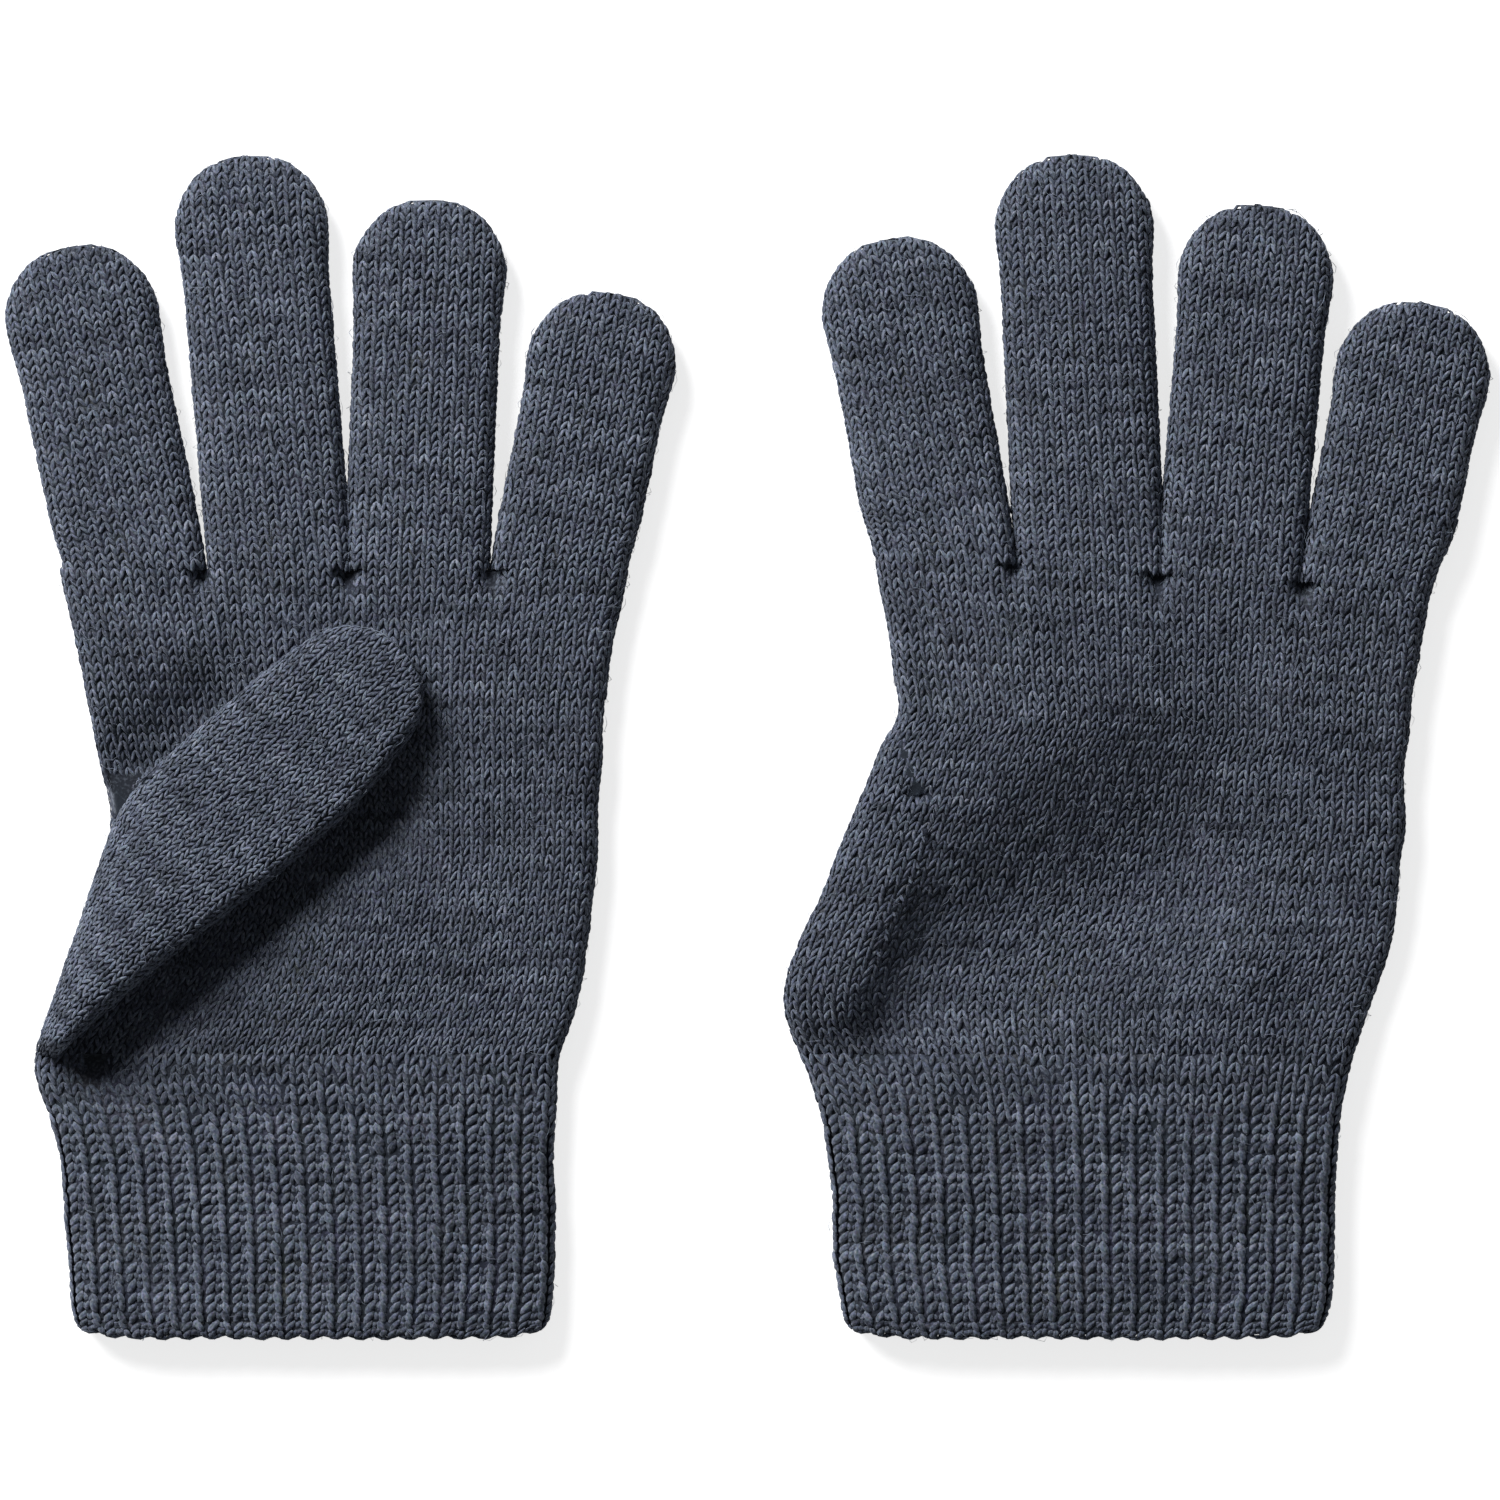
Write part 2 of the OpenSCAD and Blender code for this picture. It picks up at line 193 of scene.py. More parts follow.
def wool(name, dark, middle, light):
    """Wool yarn as a material: its three shades, a soft sheen and fine fibres in its surface"""
    material = bpy.data.materials.new(name)
    material.use_nodes = True
    nodes, links = material.node_tree.nodes, material.node_tree.links
    surface = nodes["Principled BSDF"]
    surface.inputs["Specular IOR Level"].default_value = 0.18
    surface.inputs["Sheen Weight"].default_value = 0.25
    surface.inputs["Sheen Roughness"].default_value = 0.55
    surface.inputs["Sheen Tint"].default_value = (0.72, 0.8, 0.95, 1)
    yarn = nodes.new("ShaderNodeGroup")
    yarn.node_tree = heathered_yarn
    for socket, colour in (("Dark", dark), ("Middle", middle), ("Light", light)):
        yarn.inputs[socket].default_value = (*colour, 1)
    bump = nodes.new("ShaderNodeBump")
    bump.inputs["Strength"].default_value = 0.5
    bump.inputs["Distance"].default_value = 0.0002
    links.new(yarn.outputs["Color"], surface.inputs["Base Color"])
    links.new(yarn.outputs["Roughness"], surface.inputs["Roughness"])
    links.new(yarn.outputs["Height"], bump.inputs["Height"])
    links.new(bump.outputs["Normal"], surface.inputs["Normal"])
    return material


plain_wool = wool("wool_plain_knit", (0.016, 0.019, 0.030), (0.094, 0.110, 0.150), (0.255, 0.293, 0.370))
# The rib's wool is the plain yarn painted a little darker: painted shade for the rib's own shade.
rib_wool_with_painted_shade = wool("wool_rib_knit", (0.015, 0.018, 0.028), (0.086, 0.101, 0.138), (0.233, 0.268, 0.340))

# Stitches: a loop of yarn shows as two plump legs that meet under a round cap, because the glove is
# knitted from the finger tips down. One leg is shaped along five stations and mirrored for the other.
plain_gauge = (2.25, 1.62)


def yarn_leg(name, stations):
    """One closed leg of yarn: stations of middle (x, y, z) and half width and height, along y"""
    bpy.ops.object.select_all(action="DESELECT")
    bpy.ops.mesh.primitive_uv_sphere_add(segments=5, ring_count=4, radius=1, rotation=(math.pi / 2, 0, 0))
    leg = bpy.context.object
    leg.name = name
    bpy.ops.object.transform_apply(location=False, rotation=True, scale=False)
    co = np.array([v.co for v in leg.data.vertices])
    levels = np.array([1, math.sqrt(0.5), 0, -math.sqrt(0.5), -1])
    level = np.abs(co[:, 1, None] - levels[None]).argmin(1)
    turn = np.arctan2(co[:, 2], co[:, 0]) + math.radians(18)
    ring = np.array(stations)[level]
    shaped = ring[:, :3] + np.stack(
        [ring[:, 3] * np.cos(turn), np.zeros(len(co)), ring[:, 4] * np.sin(turn)], axis=1)
    leg.data.vertices.foreach_set("co", shaped.ravel())
    leg.data.uv_layers[0].name = "yarn"
    return leg


def stitch_of(name, *legs):
    """Several legs as one stitch, kept as a pattern for copying"""
    parts = [yarn_leg(f"{name}_{k}", leg) for k, leg in enumerate(legs)]
    bpy.ops.object.select_all(action="DESELECT")
    for part in parts:
        part.select_set(True)
    stitch = bpy.context.view_layer.objects.active = parts[0]
    bpy.ops.object.join()
    bpy.ops.object.mode_set(mode="EDIT")
    bpy.ops.mesh.select_all(action="SELECT")
    bpy.ops.mesh.normals_make_consistent(inside=False)
    bpy.ops.object.mode_set(mode="OBJECT")
    bpy.ops.object.shade_smooth()
    stitch.name = name
    stitch.hide_render = True
    return stitch


plain_leg = [
    (0.02, 1.10, -0.03, 0, 0),
    (0.29, 0.70, 0.05, 0.35, 0.17),
    (0.60, -0.06, 0.08, 0.45, 0.21),
    (0.86, -0.82, -0.02, 0.36, 0.18),
    (1.02, -1.36, -0.16, 0, 0)]


def mirrored(leg):
    return [(-x, *rest) for x, *rest in leg]


plain_stitch = stitch_of("plain_stitch", plain_leg, mirrored(plain_leg))


def lay_on(form, sheet, c, v, height):
    """Points at a height over a form, along its own normal"""
    step = 0.04
    across = form(sheet, c + step, v) - form(sheet, c - step, v)
    along = form(sheet, c, v + step) - form(sheet, c, v - step)
    normal = np.cross(across, along)
    normal /= np.maximum(np.linalg.norm(normal, axis=1, keepdims=True), 1e-9)
    return form(sheet, c, v) + np.asarray(height)[:, None] * normal


def melange(wales, courses, chance):
    """Shade of each stitch: the yarn wanders slowly along a course, and each course starts anew"""
    margin = 10
    taper = np.hanning(margin + 1)[1:-1]
    taper /= math.sqrt((taper ** 2).sum())
    slow = [np.convolve(row, taper, "same") for row in chance.normal(0, 1, (courses, wales + 2 * margin))]
    slow = np.array(slow)[:, margin:margin + wales]
    course = chance.normal(0, 1, (courses, 1))
    quick = chance.normal(0, 1, (courses, wales))
    return (0.5 + 0.055 * slow + 0.025 * course + 0.07 * quick).ravel()


# Shares of the baking map's width: the stitches up to the first, then middle and width of the bands for
# the ground and for the fibres
stitch_share, ground_share, fibre_share = 0.9, (0.945, 0.08), (0.994, 0.004)


def give_values(mesh, shade, bake_u, bake_v):
    """The piece's shade on its points, and a flat map for baking beside the yarn's own map"""
    mesh.attributes.new("shade", "FLOAT", "POINT").data.foreach_set("value", shade.astype(np.float32))
    corner = np.empty(len(mesh.loops), np.int32)
    mesh.loops.foreach_get("vertex_index", corner)
    flat = np.stack([bake_u[corner], bake_v[corner]], axis=1)
    mesh.uv_layers.new(name="OFBake").data.foreach_set("uv", flat.astype(np.float32).ravel())


def points_of(mesh):
    co = np.empty(len(mesh.vertices) * 3, np.float32)
    mesh.vertices.foreach_get("co", co)
    return co.reshape(-1, 3).astype(float)


def delete_points(piece, lost):
    """Deletes the marked points of a piece, with what hangs on them"""
    mesh = piece.data
    mesh.vertices.foreach_set("select", lost)
    ends = np.empty(len(mesh.edges) * 2, np.int32)
    mesh.edges.foreach_get("vertices", ends)
    mesh.edges.foreach_set("select", lost[ends[::2]] & lost[ends[1::2]])
    mesh.polygons.foreach_set("select", [bool(lost[list(p.vertices)].all()) for p in mesh.polygons])
    bpy.ops.object.mode_set(mode="EDIT")
    bpy.ops.mesh.select_mode(type="VERT")
    bpy.ops.mesh.delete(type="VERT")
    bpy.ops.object.mode_set(mode="OBJECT")


def join_pieces(name, parts):
    bpy.ops.object.select_all(action="DESELECT")
    for part in parts:
        part.select_set(True)
    bpy.context.view_layer.objects.active = parts[0]
    bpy.ops.object.join()
    parts[0].name = parts[0].data.name = name
    return parts[0]


def copies(name, pattern, *counts):
    """A piece that holds so many copies of a pattern, all in one place at first"""
    piece = bpy.data.objects.new(name, pattern.data.copy())
    scene.collection.objects.link(piece)
    bpy.ops.object.select_all(action="DESELECT")
    piece.select_set(True)
    bpy.context.view_layer.objects.active = piece
    for count in counts:
        bpy.ops.object.modifier_add(type="ARRAY")
        array = piece.modifiers[-1]
        array.count = count
        array.use_relative_offset = False
        array.use_constant_offset = True
        array.constant_offset_displace = (0, 0, 0)
        bpy.ops.object.modifier_apply(modifier=array.name)
    return piece


bpy.ops.mesh.primitive_uv_sphere_add(segments=3, ring_count=4, radius=1)
stray_fibre = bpy.context.object
stray_fibre.name = "stray_fibre"
stray_fibre.data.uv_layers[0].name = "yarn"
stray_fibre.hide_render = True


def stray_fibres(form, sheets, start, end, reach, ends, count, material, chance):
    """Short bowed fibres that lift off the yarn, both ends held in it"""
    held = 0.25
    sheet = chance.choice(sheets, count)
    v = chance.uniform(start, end, count)
    c = chance.uniform(-1, 1, count) * reach(v)
    there = ends(sheet, c, v)
    sheet, c, v = sheet[there], c[there], v[there]
    piece = copies("fibres", stray_fibre, len(c))
    pattern = points_of(stray_fibre.data)
    number = np.arange(len(piece.data.vertices)) // len(pattern)
    co = np.tile(pattern, (len(c), 1))

    def each(low, high):
        return chance.uniform(low, high, len(c))[number]

    turn, half, bow = each(0, math.tau), each(0.7, 2.4), each(-0.7, 0.7)
    lift, thick = each(0.35, 0.95), each(0.035, 0.065)
    t, arch = co[:, 2], 1 - co[:, 2] ** 2
    along, across = t * half, bow * arch + co[:, 0] * thick
    to_c = c[number] + along * np.cos(turn) - across * np.sin(turn)
    to_v = v[number] + along * np.sin(turn) + across * np.cos(turn)
    height = held + lift * arch + co[:, 1] * thick
    points = lay_on(form, sheet[number], to_c, np.clip(to_v, start, end - 1), height)
    piece.data.vertices.foreach_set("co", (points * 0.001).astype(np.float32).ravel())
    row = (number + 0.5 + 0.4 * t) / len(c)
    give_values(piece.data, each(0.6, 1.3), fibre_share[0] + fibre_share[1] * co[:, 0], row)
    piece.data.materials.clear()
    piece.data.materials.append(material)
    bpy.ops.object.shade_smooth()
    return piece


# The ground is painted dark, as painted shade in the gaps between the stitches.
ground_overlap, ground_painted_shade, ground_thickness = 0.6, 0.13, 0.0009


def knitted(name, form, sheets, wales, width, start, courses, course, material, seed,
            reach=None, ends=None, stitch=plain_stitch, gauge=plain_gauge, into=None, change=None,
            ground=-0.14, fuzz=0.14, shift=0, painted_shade=0):
    """A knitted piece: stitches laid on a form's sheets over a thin ground, which is painted dark
    as the shade in the gaps between the stitches.
    A sheet is +1 over or -1 under, c runs round it from its middle and v along it. Where change(c, v)
    is 1, the stitch has the other shape that into gives. The wales lie off the middle by shift.
    The last argument makes the piece's yarn a little lighter or darker, as painted shade for a piece
    that lies in less light."""
    chance = np.random.default_rng(seed)
    wale = width / wales
    reach = reach or (lambda v: np.full_like(v, width / 2))
    ends = ends or (lambda sheet, c, v: np.full(c.shape, True))

    piece = copies(name, stitch, wales * len(sheets), courses)
    mesh, pattern = piece.data, points_of(stitch.data)
    number = np.arange(len(mesh.vertices)) // len(pattern)
    stitches = wales * len(sheets) * courses
    column, row = number % (wales * len(sheets)), number // (wales * len(sheets))
    sheet = np.array(sheets)[column // wales]
    middle_c = (column % wales + 0.5 - wales / 2) * wale + shift * sheet
    middle_v = start + (row + 0.5) * course
    co = np.tile(pattern, (stitches, 1))
    if into:
        co += change(middle_c, middle_v)[:, None] * np.tile(points_of(into.data) - pattern, (stitches, 1))
    x, y = co[:, 0] * wale / gauge[0], co[:, 1] * course / gauge[1]
    tilt = chance.normal(0, 0.1, stitches)[number]
    grow = 1 + chance.normal(0, 0.08, stitches)[number]
    x, y = grow * (x - tilt * y), grow * (y + tilt * x)
    x += chance.normal(0, 0.1, stitches)[number]
    y += chance.normal(0, 0.1, stitches)[number]
    z = co[:, 2] * grow + chance.normal(0, 0.07, stitches)[number]
    points = lay_on(form, sheet, middle_c + x, middle_v + y, z)
    mesh.vertices.foreach_set("co", (points * 0.001).astype(np.float32).ravel())
    # Each stitch's melange shade, shifted by the piece's painted shade
    shade = melange(wales * len(sheets), courses, chance) + painted_shade
    flat_u = stitch_share * (column * wale + wale / 2 + x) / (wale * wales * len(sheets))
    flat_v = (row + 0.5 + y / course) / courses
    give_values(mesh, shade[number], np.clip(flat_u, 0, stitch_share), np.clip(flat_v, 0, 1))
    mesh.materials.clear()
    mesh.materials.append(material)
    lost = (np.abs(middle_c) > reach(middle_v) + 0.25 * wale) | ~ends(sheet, middle_c, middle_v)
    if lost.any():
        delete_points(piece, lost)

    parts = [piece]
    for flag in sheets:
        bpy.ops.object.select_all(action="DESELECT")
        bpy.ops.mesh.primitive_grid_add(x_subdivisions=wales, y_subdivisions=courses, size=1)
        under = bpy.context.object
        under.data.uv_layers[0].name = "yarn"
        grid = points_of(under.data)
        v = start + (grid[:, 1] + 0.5) * course * courses
        c = 2 * grid[:, 0] * (reach(v) + ground_overlap)
        flags = np.full(len(v), flag)
        points = lay_on(form, flags, c, v, np.full(len(v), ground + 0.02 * flag))
        under.data.vertices.foreach_set("co", (points * 0.001).astype(np.float32).ravel())
        flat_u = ground_share[0] + ground_share[1] * grid[:, 0]
        # The ground's low yarn shade is painted shade for the gaps between the stitches.
        give_values(under.data, np.full(len(v), ground_painted_shade), flat_u, grid[:, 1] + 0.5)
        under.data.materials.append(material)
        lost = ~ends(flags, c, v)
        if lost.any():
            delete_points(under, lost)
        bpy.ops.object.modifier_add(type="SOLIDIFY")
        under.modifiers[-1].thickness = ground_thickness
        under.modifiers[-1].offset = -1
        bpy.ops.object.modifier_apply(modifier=under.modifiers[-1].name)
        bpy.ops.object.shade_smooth()
        parts.append(under)
    end = start + courses * course
    fibres = round(fuzz * stitches)
    parts.append(stray_fibres(form, sheets, start, end, reach, ends, fibres, material, chance))
    return join_pieces(name, parts)


# Cuffs: a rib of one wale out and one wale back, which turns into plain knit at the wrist as the wale
# that lies back comes forward. The last courses at the mouth curl in as a hem, on the same form.
sides = ("left", "right")
lean = {"left": 0.0, "right": math.radians(-3.5)}
# Where a hand leans on its cuff, how far the gloves lie apart and the middle of the pair, in mm
lean_at, pair_pitch, pair_middle = (-8, 43.3), 155.5, (79.938, 118.375)


def laid(side, x, y):
    """A place in one glove's own plan, from its cuff's mouth, in the pair as it lies, in mm"""
    dx, dy = x - lean_at[0], y - lean_at[1]
    a = lean[side]
    aside = 0 if side == "left" else pair_pitch
    return np.stack([
        aside + lean_at[0] + dx * math.cos(a) - dy * math.sin(a) - pair_middle[0],
        lean_at[1] + dx * math.sin(a) + dy * math.cos(a) - pair_middle[1]], axis=-1)


# Height along the glove, thumb side's edge and outer edge, in mm
outline = {
    "left": np.array([
        (-121, -133.5, -40.5), (-118.5, -134, -40), (-115, -135, -39), (-111, -135.5, -38.5),
        (-103, -136, -38), (-91, -137, -38), (-83, -137.5, -38.5), (-75, -139.5, -38), (-67, -142.6, -37.5),
        (-63, -142.8, -37.5), (-55, -139.3, -34.5), (-47, -135, -32.5), (-39, -132, -31.5),
        (-31, -129.5, -30.5), (-23, -128, -29.5), (-17, -127.5, -29.5), (-11, -128, -29.5),
        (-3, -130, -28.5), (5, -131.5, -28.5), (13, -133, -27.5), (21, -134.5, -26.5), (29, -136.5, -24.5),
        (34, -137.5, -23.5), (40, -138.5, -22.5)]),
    "right": np.array([
        (-121, 20.5, 115), (-118.5, 20, 115.5), (-115, 19, 116.5), (-111, 18.5, 117.5), (-103, 17, 118),
        (-91, 17, 118), (-83, 16, 118.5), (-75, 15, 119), (-67, 12.5, 120.5), (-63, 11, 121.5),
        (-55, 7.5, 124), (-51, 7, 125.5), (-47, 7.5, 127), (-39, 10.5, 129.5), (-31, 14.8, 130.5),
        (-23, 17.8, 131), (-15, 21.3, 132.2), (-11, 23.2, 132), (-3, 26.4, 131.7), (-1, 27.2, 132),
        (1, 28.8, 132.5), (3, 30.3, 132.8), (5, 30.4, 133), (13, 28.9, 133.5), (21, 28, 135),
        (29, 26.1, 136.2), (34, 25.5, 137.2), (40, 24.5, 138.6)])}
stitch_rise, corner_reach = 0.4, 2


def edges(side, y):
    """Middle and half width of a glove's hand or cuff at a height along it"""
    table = outline[side]
    offsets = (-corner_reach, 0, corner_reach)
    near = [np.interp(y + d, table[:, 0], table[:, k]) for d in offsets for k in (1, 2)]
    low, high = (near[0] + near[2] + near[4]) / 3, (near[1] + near[3] + near[5]) / 3
    return (low + high) / 2, (high - low) / 2 - stitch_rise


def ease(t):
    t = np.clip(t, 0, 1)
    return t * t * (3 - 2 * t)


tube_side, tube_middle, tube_crown = 3.3, 3.95, 1.5


def flat_tube(c, half, side):
    """Across and up on a flattened tube's upper half, by the distance c round it from its middle"""
    flat = np.maximum(half - side, 0)
    turn = np.clip((np.abs(c) - flat) / side, 0, math.pi)
    across = np.sign(c) * (np.minimum(np.abs(c), flat) + side * np.sin(turn))
    return across, side * np.cos(turn)


def quarter(half, side):
    return np.maximum(half - side, 0) + side * math.pi / 2


thumb_turn, thumb_middle = math.radians(41), (-15.0, 115.6)


def thumb_frame(side, x, y):
    """Distance along and across the folded thumb from its middle"""
    middle = laid(side, *thumb_middle)
    a = thumb_turn + lean[side]
    dx, dy = x - middle[0], y - middle[1]
    return dx * math.cos(a) + dy * math.sin(a), dx * math.sin(a) - dy * math.cos(a)


def from_line(x, y, start, end):
    """Distance of a place from a straight line between two points"""
    (ax, ay), (bx, by) = start, end
    length = math.hypot(bx - ax, by - ay)
    ux, uy = (bx - ax) / length, (by - ay) / length
    near = np.clip((x - ax) * ux + (y - ay) * uy, 0, length)
    return np.hypot(x - ax - near * ux, y - ay - near * uy)


# Each soft crease: its depth, its two ends in the pair as it lies and its half width, in mm
creases = {
    "left": [(6.0, (-131, -60), (-73, -11), 7.5), (6.6, (-127, -11), (-108, 5), 12)],
    "right": [(1.7, (34.5, -36), (26, -57), 6.0), (0.9, (30.2, 2), (34, -9), 1.2)]}


def lifted(side, sheet, x, y, flat):
    """How far the fabric lies above the table's flat: the left palm sinks beside its folded thumb, and
    the right hand lies over its thumb with a hollow beside it. Both sheets meet where flat is 0."""
    s, q = thumb_frame(side, x, y)
    over = np.zeros_like(s)
    for depth, start, end, width in creases[side]:
        over -= depth * np.exp(-(from_line(x, y, start, end) / width) ** 2)
    if side == "left":
        over -= 0.7 * np.exp(-((y - 28) / 6) ** 2)
        under = np.zeros_like(s)
    else:
        low_end = ease((y + 64) / 16)
        slope = np.interp(s, (-67, -46, -34, -8), (9, 12, 17, 20))
        fall = ease((q - np.interp(s, (-67, -46, -34, -8), (20, 9, 6, 9))) / (2 * slope) + 0.5)
        over += 5.4 * (1 - fall) * low_end * ease((40 - s) / 35) * ease((75 - y) / 50)
        over -= 5.0 * fall * ease((y + 68) / 42) * ease((40 - s) / 35)
        over -= 3.2 * np.exp(-((x - 34.7) / 2.2) ** 2 - ((y + 10) / 1.3) ** 2)
        over += 4.6 * np.exp(-(np.hypot(x - 97, y + 45) / 13) ** 2)
        under = 6 * low_end * ease((45 - s) / 15) * ease(1 - np.maximum(-15 - q, 0) / 12)
        under *= 1 - ease((q - np.interp(s, (-60, -46, -15, 6), (2, 0, 5, 6))) / 12)
    return (over + under) / 2 + np.where(sheet > 0, 1, -1) * np.clip(flat, 0, 1) * (over - under) / 2


rib_gauge, rib_repeats, hem_courses = (5.36, 2.0), 19, 3
back_leg = [
    (2.18, 1.00, -0.24, 0, 0), (2.30, 0.52, -0.05, 0.48, 0.22), (2.48, 0, -0.01, 0.58, 0.24),
    (2.60, -0.52, -0.05, 0.48, 0.22), (2.70, -1.00, -0.24, 0, 0)]
rib_stitch = stitch_of(
    "rib_stitch",
    [(-1.64, 1.60, 0.0, 0, 0), (-1.47, 0.85, 0.09, 0.68, 0.22), (-1.25, 0, 0.13, 0.90, 0.25),
     (-1.03, -0.85, 0.09, 0.68, 0.22), (-0.86, -1.60, 0.0, 0, 0)],
    [(1.88, 1.40, -0.08, 0, 0), (1.56, 0.78, 0.04, 0.68, 0.21), (1.15, 0, 0.08, 0.94, 0.24),
     (0.74, -0.78, 0.04, 0.68, 0.21), (0.42, -1.40, -0.08, 0, 0)],
    back_leg, mirrored(back_leg))
hem_leg = [
    (0.50, 1.30, -0.08, 0, 0), (0.30, 0.72, 0.03, 0.70, 0.21), (0, 0, 0.06, 0.94, 0.24),
    (-0.30, -0.72, 0.03, 0.70, 0.21), (-0.50, -1.30, -0.08, 0, 0)]
hem_middles = (-0.67, 0.67, 2.01, -2.01)
hem_stitch = stitch_of(
    "hem_stitch", *([(x + middle, *rest) for x, *rest in hem_leg] for middle in hem_middles))


def spread(leg, middle):
    """A plain stitch's leg at the rib's gauge"""
    wide, tall = rib_gauge[0] / 2 / plain_gauge[0], rib_gauge[1] / plain_gauge[1]
    return [(middle + wide * x, tall * y, z, wide * w, h) for x, y, z, w, h in leg]


wale_at = rib_gauge[0] / 4
plain_pair = stitch_of(
    "plain_pair", spread(plain_leg, -wale_at), spread(mirrored(plain_leg), wale_at),
    spread(plain_leg, wale_at), spread(mirrored(plain_leg), -wale_at))

mouth, curl, roll, cuff_half = -118.4, 1.5, 1.0, 49.0
rib_width = 2 * quarter(cuff_half, tube_side)
# Where the hem ends, the wrist starts and the hand starts, from the fabric's edge in mm
hem_start, hem_v, wrist_v, hand_v = -0.9, 3.5, 41.0, 57.1
# The wrist's soft stretch, from the hand to the cuff, and the height of the joints, in m
wrist_from, wrist_to, joint_z = -0.0618, -0.0751, 0.0045


def cuff_form(side):
    """A cuff's form: v runs from the fabric's edge, which is curled in at the mouth, up to the hand"""
    def form(sheet, c, v):
        turn = np.clip((curl - v) / roll, 0, 2.6)
        y = mouth + roll + np.maximum(v - curl, 0) - roll * np.sin(turn)
        sink = roll * (1 - np.cos(turn))
        middle, half = edges(side, y)
        half, side_r = half - sink, tube_side - sink
        q, up = flat_tube(c * quarter(half, side_r) / (rib_width / 2), half, side_r)
        q = q * sheet
        x = middle + q
        crown = tube_crown * (1 - np.abs(q / half) ** 6) * np.maximum(up, 0) / side_r
        z = tube_middle + np.where(sheet > 0, up + crown, -up)
        near_mouth = ease(1 - v / 6)
        scallop = 0.35 * np.cos(2 * math.pi * rib_repeats * c / rib_width)
        y = y + near_mouth * (1.8 * np.abs(q / half) ** 10 - scallop)
        return np.stack([x, y, z + lifted(side, sheet, x, y, up / side_r)], axis=1)

    return form


def to_plain(c, v):
    """Share of plain knit in a rib's stitch: it comes in above the wrist along a wavy line"""
    wave = 1.6 * np.sin(0.19 * c + 1) + 1.2 * np.sin(0.47 * c)
    return ease((v - wave - wrist_v) / (hand_v - 5 - wrist_v))


for side in sides:
    form = cuff_form(side)
    courses = round((hand_v - hem_v) / rib_gauge[1])
    rib = knitted(
        f"{side}_rib_knit", form, (1, -1), rib_repeats, rib_width, hem_v, courses,
        (hand_v - hem_v) / courses, rib_wool_with_painted_shade, seed=31 + sides.index(side), stitch=rib_stitch,
        gauge=rib_gauge, into=plain_pair, change=to_plain, ground=-0.1)
    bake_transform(rib)
    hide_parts(f"{side}_cuff_rib", f"{side}_wrist")
    # The hem's yarn is painted darker still, as painted shade where the hem curls away from the light.
    hem = knitted(
        f"{side}_hem_knit", form, (1, -1), rib_repeats, rib_width, hem_start, hem_courses,
        (hem_v - hem_start) / hem_courses, rib_wool_with_painted_shade, seed=41 + sides.index(side), stitch=rib_stitch,
        gauge=rib_gauge, into=hem_stitch,
        change=lambda c, v: ease((2.4 - v) / 2), ground=-0.05, painted_shade=-0.1)
    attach(hem, f"{side}_cuff")
    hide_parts(f"{side}_cuff_hem")

# Elastic: five covered rubber threads laid into the rib's inside, each a closed loop round the cuff.
# Each is a ring whose run is bent to the cuff's form, just proud of the fabric's inner face.
rubber = bpy.data.materials.new("covered_elastic")
rubber.use_nodes = True
rubber.node_tree.nodes["Principled BSDF"].inputs["Base Color"].default_value = (0.05, 0.055, 0.07, 1)
rubber.node_tree.nodes["Principled BSDF"].inputs["Roughness"].default_value = 0.7
thread_radius, thread_rows, thread_depth = 0.35, 5, 2.3
for side in sides:
    form = cuff_form(side)
    loops = []
    for k in range(thread_rows):
        bpy.ops.object.select_all(action="DESELECT")
        bpy.ops.mesh.primitive_torus_add(
            major_segments=96, minor_segments=6, major_radius=1, minor_radius=0.1, generate_uvs=False)
        loop = bpy.context.object
        co = points_of(loop.data)
        turn = np.arctan2(co[:, 1], co[:, 0])
        sheet = np.where(turn >= 0, 1, -1)
        c = sheet * (0.5 - np.abs(turn) / math.pi) * rib_width
        v = hem_v + (wrist_v - hem_v) * (k + 0.5) / thread_rows + co[:, 2] * 10 * thread_radius
        height = -thread_depth + (np.hypot(co[:, 0], co[:, 1]) - 1) * 10 * thread_radius
        loop.data.vertices.foreach_set("co", (lay_on(form, sheet, c, v, height) * 0.001).ravel())
        bpy.ops.object.shade_smooth()
        loop.data.materials.append(rubber)
        loops.append(loop)
    elastic = join_pieces(f"{side}_elastic", loops)
    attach(elastic, f"{side}_cuff")
    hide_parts(f"{side}_cuff_elastic")

# Hands: the tube of plain knit round the hand, palm side and back side. The left one lies palm up, and
# the right one lies back up over its own thumb. Small dimples lie where two fingers part.
hand_width, hand_wales, hand_course = 112.0, 50, 1.72
hand_low, hand_high = -61.8, 35.2
knuckle_pitch, knuckle_y = 29.0, 153.6


def hand_form(side):
    """A hand's form: v runs up from the cuff, and the top courses tilt to the row of knuckles"""
    knuckle_tilt = math.tan(lean[side])
    knuckles = [laid(side, (i - 1) * knuckle_pitch, knuckle_y) for i in range(3)]

    def form(sheet, c, v):
        y = hand_low + v
        middle, half = edges(side, y)
        q, up = flat_tube(c * quarter(half, tube_side) / (hand_width / 2), half, tube_side)
        q = q * sheet
        x = middle + q
        crown = tube_crown * (1 - np.abs(q / half) ** 6) * np.maximum(up, 0) / tube_side
        z = tube_middle + np.where(sheet > 0, up + crown, -up)
        y = y + ease(v / (hand_high - hand_low)) * knuckle_tilt * (x - knuckles[1][0])
        dip = np.zeros_like(x)
        for k in knuckles:
            below = np.maximum(k[1] - y, 0)
            dimple = 4.2 * np.exp(-(below / 3.5) ** 2) + 0.5 * np.exp(-(below / 12) ** 2)
            dip += np.exp(-((x - k[0]) / 2.2) ** 2) * dimple
        z -= np.where(sheet > 0, dip * np.maximum(up, 0) / tube_side, 0)
        return np.stack([x, y, z + lifted(side, sheet, x, y, up / tube_side)], axis=1)

    return form


